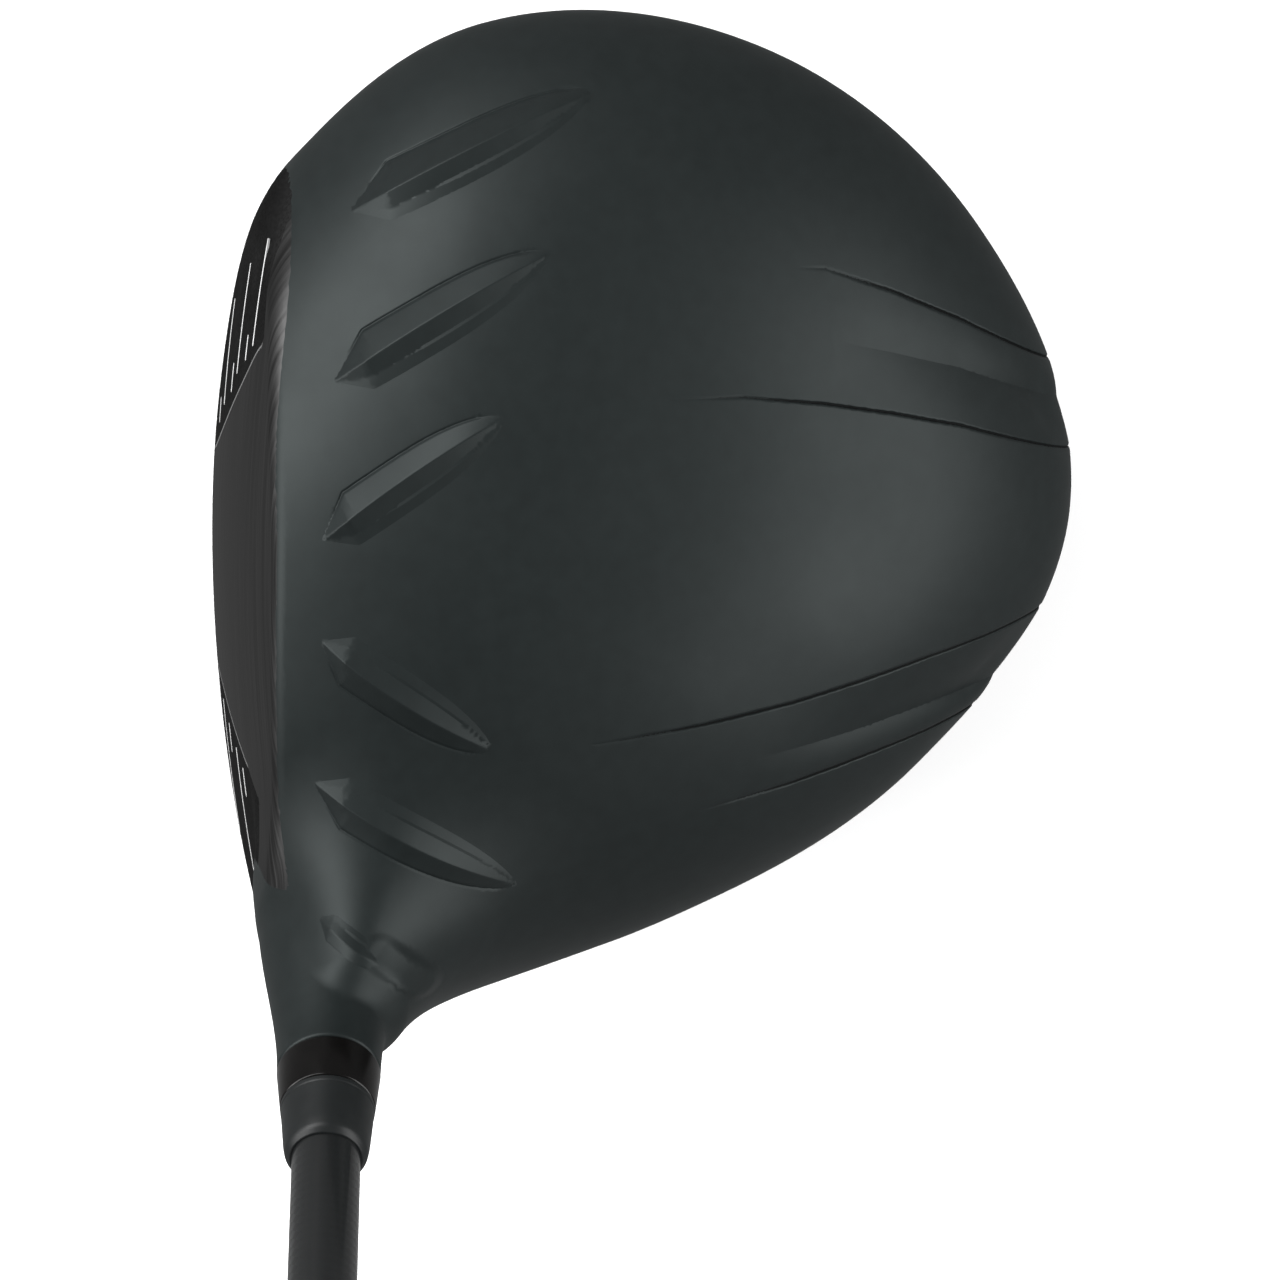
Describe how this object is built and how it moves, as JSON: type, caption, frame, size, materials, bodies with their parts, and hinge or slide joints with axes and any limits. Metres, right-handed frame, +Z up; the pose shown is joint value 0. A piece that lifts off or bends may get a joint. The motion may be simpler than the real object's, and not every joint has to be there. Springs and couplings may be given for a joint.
{
  "type": "golf driver",
  "caption": "Golf driver: hollow metal head with ridged crown, screw-held hosel adapter, sliding rear weight, tapered shaft and rubber grip.",
  "frame": {"origin": "centre of the sole's flat rest pad, on the ground, below the crown's highest point", "axes": "+Z up; the face looks toward -Y, the toe is at -X, and the shaft leans toward +X from the heel at the lie angle"},
  "size_m": [0.7158, 0.1172, 0.9802],
  "materials": {
    "crown_matte": "matte charcoal paint with a fine texture",
    "body_black": "satin black paint",
    "face_metal": "dark brushed metal with fine score lines",
    "adapter_black": "gloss black anodised",
    "ferrule_grey": "satin dark grey",
    "shaft_composite": "gloss clear coat over dark grey composite",
    "screw_steel": "black oxide",
    "washer_steel": "plain bright steel",
    "rail_metal": "cast and blasted",
    "dense_weight": "dense sintered metal, satin",
    "nylon": "natural nylon",
    "glue": "set hot glue",
    "plug": "moulded plug",
    "tape": "paper tape",
    "grip_rubber": "moulded rubber with a fine pattern"
  },
  "bodies": {
    "head": {"crown_shell": "crown_matte", "sole_shell": "body_black", "face_plate": "face_metal", "hosel_tube": "crown_matte", "screw_washer": "washer_steel", "weight_track": "rail_metal", "sound_ribs": "rail_metal", "hot_melt_pad": "glue"},
    "club_shaft": {"adapter_sleeve": "adapter_black", "ferrule": "ferrule_grey", "shaft": "shaft_composite", "tip_plug": "plug", "grip_tape": "tape", "grip": "grip_rubber", "grip_cap": "grip_rubber"},
    "screw": {"hosel_screw": "screw_steel", "screw_retainer": "nylon"},
    "weight": {"movable_weight": "dense_weight", "weight_clamp": "washer_steel"},
    "clamp_screw": {"weight_screw": "screw_steel"}
  },
  "joints": [
    {"name": "shaft_pull_out", "type": "slide", "parent": "head", "child": "club_shaft", "axis": [0.5299, 0, 0.848], "range_m": [0, 0.036]},
    {"name": "hosel_screw_turn", "type": "hinge", "parent": "head", "child": "screw", "pos_m": [0.028, -0.0198, 0], "axis": [0.5299, 0, 0.848], "continuous": true},
    {"name": "weight_slide", "type": "hinge", "parent": "head", "child": "weight", "pos_m": [-0.008, 0.027, 0], "axis": [0, 0, 1], "range_deg": [-14, 14]},
    {"name": "weight_screw_turn", "type": "hinge", "parent": "weight", "child": "clamp_screw", "pos_m": [-0.008, 0.068, 0], "axis": [0, 0, 1], "continuous": true}
  ]
}
